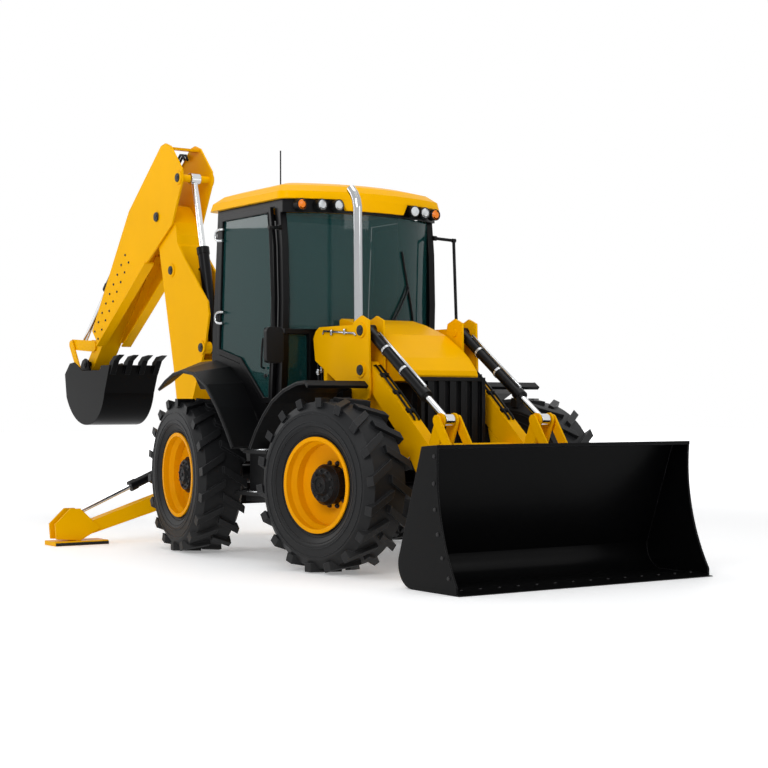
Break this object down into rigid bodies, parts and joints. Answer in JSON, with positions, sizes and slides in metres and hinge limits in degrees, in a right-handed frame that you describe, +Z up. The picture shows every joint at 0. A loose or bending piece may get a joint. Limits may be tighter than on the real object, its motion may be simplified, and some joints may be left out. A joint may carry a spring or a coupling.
{
  "type": "backhoe loader",
  "caption": "Wheeled backhoe loader with a front loading bucket on lift arms, an enclosed cab, and a rear digging arm with an extending dipper and stabiliser legs.",
  "frame": {"origin": "on the ground, below the middle of the machine's length and width as parked", "axes": "+X points forward, +Y to the machine's left, +Z up"},
  "size_m": [8.954, 3.74, 3.995],
  "materials": {
    "yellow_paint": "glossy machine enamel, edges slightly worn",
    "black_paint": "satin black paint",
    "black_steel": "black painted plate, dull",
    "dark_iron": "painted casting",
    "black_plastic": "moulded, matte",
    "chrome_steel": "polished",
    "tinted_glass": "tinted, clear",
    "seat_fabric": "dark woven cover",
    "tyre_rubber": "dark rubber",
    "lamp_housing": "clear lens in a dark bezel"
  },
  "bodies": {
    "machine": {"chassis_frame": "black_paint", "rear_frame": "black_paint", "engine_block": "dark_iron", "axles": "black_paint", "loader_towers": "yellow_paint", "front_grille": "black_plastic", "exhaust_stack": "chrome_steel", "cab_frame": "black_paint", "cab_glass": "tinted_glass", "cab_roof": "yellow_paint", "operator_seat": "seat_fabric", "driving_console": "black_plastic", "fenders": "black_plastic", "step_boxes": "black_plastic", "work_lamps": "lamp_housing", "mirrors": "black_plastic"},
    "hood": {"hood": "yellow_paint"},
    "door_right": {"door_right": "black_paint", "door_glass_right": "tinted_glass"},
    "door_left": {"door_left": "black_paint", "door_glass_left": "tinted_glass"},
    "knuckle_front_right": {"knuckle_front_right": "dark_iron"},
    "wheel_front_right": {"rim_front_right": "yellow_paint", "tyre_front_right": "tyre_rubber"},
    "knuckle_front_left": {"knuckle_front_left": "dark_iron"},
    "wheel_front_left": {"rim_front_left": "yellow_paint", "tyre_front_left": "tyre_rubber"},
    "knuckle_rear_right": {"knuckle_rear_right": "dark_iron"},
    "wheel_rear_right": {"rim_rear_right": "yellow_paint", "tyre_rear_right": "tyre_rubber"},
    "knuckle_rear_left": {"knuckle_rear_left": "dark_iron"},
    "wheel_rear_left": {"rim_rear_left": "yellow_paint", "tyre_rear_left": "tyre_rubber"},
    "loader_arms": {"loader_arms": "yellow_paint"},
    "front_bucket": {"front_bucket": "black_steel"},
    "tipping_levers": {"tipping_levers": "yellow_paint"},
    "bucket_links": {"bucket_links": "yellow_paint"},
    "lift_ram_barrels": {"lift_ram_barrels": "black_paint"},
    "lift_ram_rods": {"lift_ram_rods": "chrome_steel"},
    "tilt_ram_barrels": {"tilt_ram_barrels": "black_paint"},
    "tilt_ram_rods": {"tilt_ram_rods": "chrome_steel"},
    "kingpost": {"kingpost": "yellow_paint"},
    "boom": {"boom": "yellow_paint"},
    "dipper": {"dipper": "yellow_paint"},
    "dipper_slide": {"dipper_slide": "yellow_paint"},
    "digging_bucket": {"digging_bucket": "black_steel"},
    "bucket_rocker": {"bucket_rocker": "yellow_paint"},
    "bucket_link": {"bucket_link": "yellow_paint"},
    "boom_ram_barrel": {"boom_ram_barrel": "black_paint"},
    "boom_ram_rod": {"boom_ram_rod": "chrome_steel"},
    "dipper_ram_barrel": {"dipper_ram_barrel": "black_paint"},
    "dipper_ram_rod": {"dipper_ram_rod": "chrome_steel"},
    "crowd_ram_barrel": {"crowd_ram_barrel": "black_paint"},
    "crowd_ram_rod": {"crowd_ram_rod": "chrome_steel"},
    "stabiliser_leg_right": {"stabiliser_leg_right": "yellow_paint"},
    "stabiliser_leg_left": {"stabiliser_leg_left": "yellow_paint"},
    "stabiliser_barrel_right": {"stabiliser_barrel_right": "black_paint"},
    "stabiliser_barrel_left": {"stabiliser_barrel_left": "black_paint"},
    "stabiliser_rod_right": {"stabiliser_rod_right": "chrome_steel"},
    "stabiliser_rod_left": {"stabiliser_rod_left": "chrome_steel"}
  },
  "joints": [
    {"name": "steering_front_right", "type": "hinge", "parent": "machine", "child": "knuckle_front_right", "pos_m": [2.507, -0.8, 0.685], "axis": [0, 0, 1], "range_deg": [-29.8, 10.2]},
    {"name": "wheel_spin_front_right", "type": "hinge", "parent": "knuckle_front_right", "child": "wheel_front_right", "pos_m": [2.507, -0.8, 0.685], "axis": [-0.1702, 0.9854, 0], "continuous": true},
    {"name": "steering_front_left", "type": "hinge", "parent": "machine", "child": "knuckle_front_left", "pos_m": [2.507, 0.8, 0.685], "axis": [0, 0, 1], "range_deg": [-29.8, 10.2]},
    {"name": "wheel_spin_front_left", "type": "hinge", "parent": "knuckle_front_left", "child": "wheel_front_left", "pos_m": [2.507, 0.8, 0.685], "axis": [-0.1702, 0.9854, 0], "continuous": true},
    {"name": "steering_rear_right", "type": "hinge", "parent": "machine", "child": "knuckle_rear_right", "pos_m": [0.287, -0.8, 0.685], "axis": [0, 0, 1], "range_deg": [-13.6, 26.4]},
    {"name": "wheel_spin_rear_right", "type": "hinge", "parent": "knuckle_rear_right", "child": "wheel_rear_right", "pos_m": [0.287, -0.8, 0.685], "axis": [0.1115, 0.9938, 0], "continuous": true},
    {"name": "steering_rear_left", "type": "hinge", "parent": "machine", "child": "knuckle_rear_left", "pos_m": [0.287, 0.8, 0.685], "axis": [0, 0, 1], "range_deg": [-13.6, 26.4]},
    {"name": "wheel_spin_rear_left", "type": "hinge", "parent": "knuckle_rear_left", "child": "wheel_rear_left", "pos_m": [0.287, 0.8, 0.685], "axis": [0.1115, 0.9938, 0], "continuous": true},
    {"name": "hood_hinge", "type": "hinge", "parent": "machine", "child": "hood", "pos_m": [1.667, 0, 2], "axis": [0, -1, 0], "range_deg": [0, 45]},
    {"name": "door_hinge_right", "type": "hinge", "parent": "machine", "child": "door_right", "pos_m": [0.327, -0.82, 2.3], "axis": [0, 0, -1], "range_deg": [0, 90]},
    {"name": "door_hinge_left", "type": "hinge", "parent": "machine", "child": "door_left", "pos_m": [0.327, 0.82, 2.3], "axis": [0, 0, 1], "range_deg": [0, 90]},
    {"name": "loader_lift", "type": "hinge", "parent": "machine", "child": "loader_arms", "pos_m": [2.277, 0, 1.59], "axis": [0, -1, 0], "range_deg": [-3, 95]},
    {"name": "bucket_tip", "type": "hinge", "parent": "loader_arms", "child": "front_bucket", "pos_m": [3.647, 0, 0.2], "axis": [0, 1, 0], "range_deg": [-43, 98]},
    {"name": "lever_swing", "type": "hinge", "parent": "loader_arms", "child": "tipping_levers", "pos_m": [3.167, 0, 0.8], "axis": [0, 1, 0], "range_deg": [-36.89, 84.08]},
    {"name": "link_swing", "type": "hinge", "parent": "front_bucket", "child": "bucket_links", "pos_m": [3.787, 0, 0.55], "axis": [0, 1, 0], "range_deg": [-96.14, 42.18]},
    {"name": "lift_ram_swing", "type": "hinge", "parent": "machine", "child": "lift_ram_barrels", "pos_m": [1.767, 0, 0.77], "axis": [0, -1, 0], "range_deg": [-1.33, 42.09]},
    {"name": "lift_ram_stroke", "type": "slide", "parent": "lift_ram_barrels", "child": "lift_ram_rods", "axis": [0.9879, 0, 0.155], "range_m": [-0.02375, 0.75193]},
    {"name": "tilt_ram_swing", "type": "hinge", "parent": "machine", "child": "tilt_ram_barrels", "pos_m": [2.277, 0, 1.91], "axis": [0, -1, 0], "range_deg": [-3.24, 102.6]},
    {"name": "tilt_ram_stroke", "type": "slide", "parent": "tilt_ram_barrels", "child": "tilt_ram_rods", "axis": [0.8272, 0, -0.5619], "range_m": [-0.22515, 0.51313]},
    {"name": "boom_slew", "type": "hinge", "parent": "machine", "child": "kingpost", "pos_m": [-1.313, 0, 0.9], "axis": [0, 0, 1], "range_deg": [-90, 90]},
    {"name": "boom_lower", "type": "hinge", "parent": "kingpost", "child": "boom", "pos_m": [-1.553, 0, 0.95], "axis": [0, -1, 0], "range_deg": [-5, 95]},
    {"name": "dipper_swing", "type": "hinge", "parent": "boom", "child": "dipper", "pos_m": [-2.133, 0, 3.26], "axis": [0, 1, 0], "range_deg": [-20, 70]},
    {"name": "dipper_extend", "type": "slide", "parent": "dipper", "child": "dipper_slide", "axis": [-0.7071, 0, -0.7071], "range_m": [0, 1]},
    {"name": "dig_bucket_tip", "type": "hinge", "parent": "dipper_slide", "child": "digging_bucket", "pos_m": [-3.963, 0, 1.77], "axis": [0, 1, 0], "range_deg": [0, 150]},
    {"name": "rocker_swing", "type": "hinge", "parent": "dipper_slide", "child": "bucket_rocker", "pos_m": [-3.858, 0, 1.972], "axis": [0, 1, 0], "range_deg": [0, 91.8]},
    {"name": "dig_link_swing", "type": "hinge", "parent": "digging_bucket", "child": "bucket_link", "pos_m": [-4.12, 0, 1.574], "axis": [0, 1, 0], "range_deg": [-102.45, 0]},
    {"name": "boom_ram_swing", "type": "hinge", "parent": "kingpost", "child": "boom_ram_barrel", "pos_m": [-1.783, 0, 0.62], "axis": [0, -1, 0], "range_deg": [-4.88, 92.81]},
    {"name": "boom_ram_stroke", "type": "slide", "parent": "boom_ram_barrel", "child": "boom_ram_rod", "axis": [-0.0386, 0, 0.9993], "range_m": [-0.58977, 0.03104]},
    {"name": "dipper_ram_swing", "type": "hinge", "parent": "boom", "child": "dipper_ram_barrel", "pos_m": [-1.213, 0, 1.88], "axis": [0, 1, 0], "range_deg": [-7, 2]},
    {"name": "dipper_ram_stroke", "type": "slide", "parent": "dipper_ram_barrel", "child": "dipper_ram_rod", "axis": [-0.2412, 0, 0.9705], "range_m": [-0.65363, 0.18675]},
    {"name": "crowd_ram_swing", "type": "hinge", "parent": "dipper_slide", "child": "crowd_ram_barrel", "pos_m": [-2.813, 0, 3.42], "axis": [0, 1, 0], "range_deg": [0, 3]},
    {"name": "crowd_ram_stroke", "type": "slide", "parent": "crowd_ram_barrel", "child": "crowd_ram_rod", "axis": [-0.7504, 0, -0.661], "range_m": [-0.80503, 0]},
    {"name": "stabiliser_lift_right", "type": "hinge", "parent": "machine", "child": "stabiliser_leg_right", "pos_m": [-0.9805, -0.62, 0.42], "axis": [-1, 0, 0], "range_deg": [0, 80]},
    {"name": "stabiliser_ram_swing_right", "type": "hinge", "parent": "machine", "child": "stabiliser_barrel_right", "pos_m": [-0.9805, -0.35, 0.83], "axis": [-1, 0, 0], "range_deg": [0, 67.52]},
    {"name": "stabiliser_ram_stroke_right", "type": "slide", "parent": "stabiliser_barrel_right", "child": "stabiliser_rod_right", "axis": [0, -0.9197, -0.3926], "range_m": [-0.58559, 0]},
    {"name": "stabiliser_lift_left", "type": "hinge", "parent": "machine", "child": "stabiliser_leg_left", "pos_m": [-0.9805, 0.62, 0.42], "axis": [1, 0, 0], "range_deg": [0, 80]},
    {"name": "stabiliser_ram_swing_left", "type": "hinge", "parent": "machine", "child": "stabiliser_barrel_left", "pos_m": [-0.9805, 0.35, 0.83], "axis": [1, 0, 0], "range_deg": [0, 67.52]},
    {"name": "stabiliser_ram_stroke_left", "type": "slide", "parent": "stabiliser_barrel_left", "child": "stabiliser_rod_left", "axis": [0, 0.9197, -0.3926], "range_m": [-0.58559, 0]}
  ],
  "couplings": [
    {"joint": "steering_front_left", "follows": "steering_front_right", "ratio": 1},
    {"joint": "steering_rear_left", "follows": "steering_rear_right", "ratio": 1},
    {"joint": "lever_swing", "follows": "bucket_tip", "ratio": 0.858},
    {"joint": "link_swing", "follows": "bucket_tip", "ratio": -0.981},
    {"joint": "lift_ram_swing", "follows": "loader_lift", "ratio": 0.443},
    {"joint": "lift_ram_stroke", "follows": "loader_lift", "m_per_rad": 0.4535},
    {"joint": "tilt_ram_swing", "follows": "loader_lift", "ratio": 1.08},
    {"joint": "tilt_ram_stroke", "follows": "bucket_tip", "m_per_rad": 0.3},
    {"joint": "rocker_swing", "follows": "dig_bucket_tip", "ratio": 0.612},
    {"joint": "dig_link_swing", "follows": "dig_bucket_tip", "ratio": -0.683},
    {"joint": "boom_ram_swing", "follows": "boom_lower", "ratio": 0.977},
    {"joint": "boom_ram_stroke", "follows": "boom_lower", "m_per_rad": -0.3557},
    {"joint": "dipper_ram_swing", "follows": "dipper_swing", "ratio": -0.1},
    {"joint": "dipper_ram_stroke", "follows": "dipper_swing", "m_per_rad": -0.535},
    {"joint": "crowd_ram_swing", "follows": "dig_bucket_tip", "ratio": 0.02},
    {"joint": "crowd_ram_stroke", "follows": "dig_bucket_tip", "m_per_rad": -0.3075},
    {"joint": "stabiliser_ram_swing_right", "follows": "stabiliser_lift_right", "ratio": 0.844},
    {"joint": "stabiliser_ram_stroke_right", "follows": "stabiliser_lift_right", "m_per_rad": -0.4194},
    {"joint": "stabiliser_ram_swing_left", "follows": "stabiliser_lift_left", "ratio": 0.844},
    {"joint": "stabiliser_ram_stroke_left", "follows": "stabiliser_lift_left", "m_per_rad": -0.4194}
  ]
}
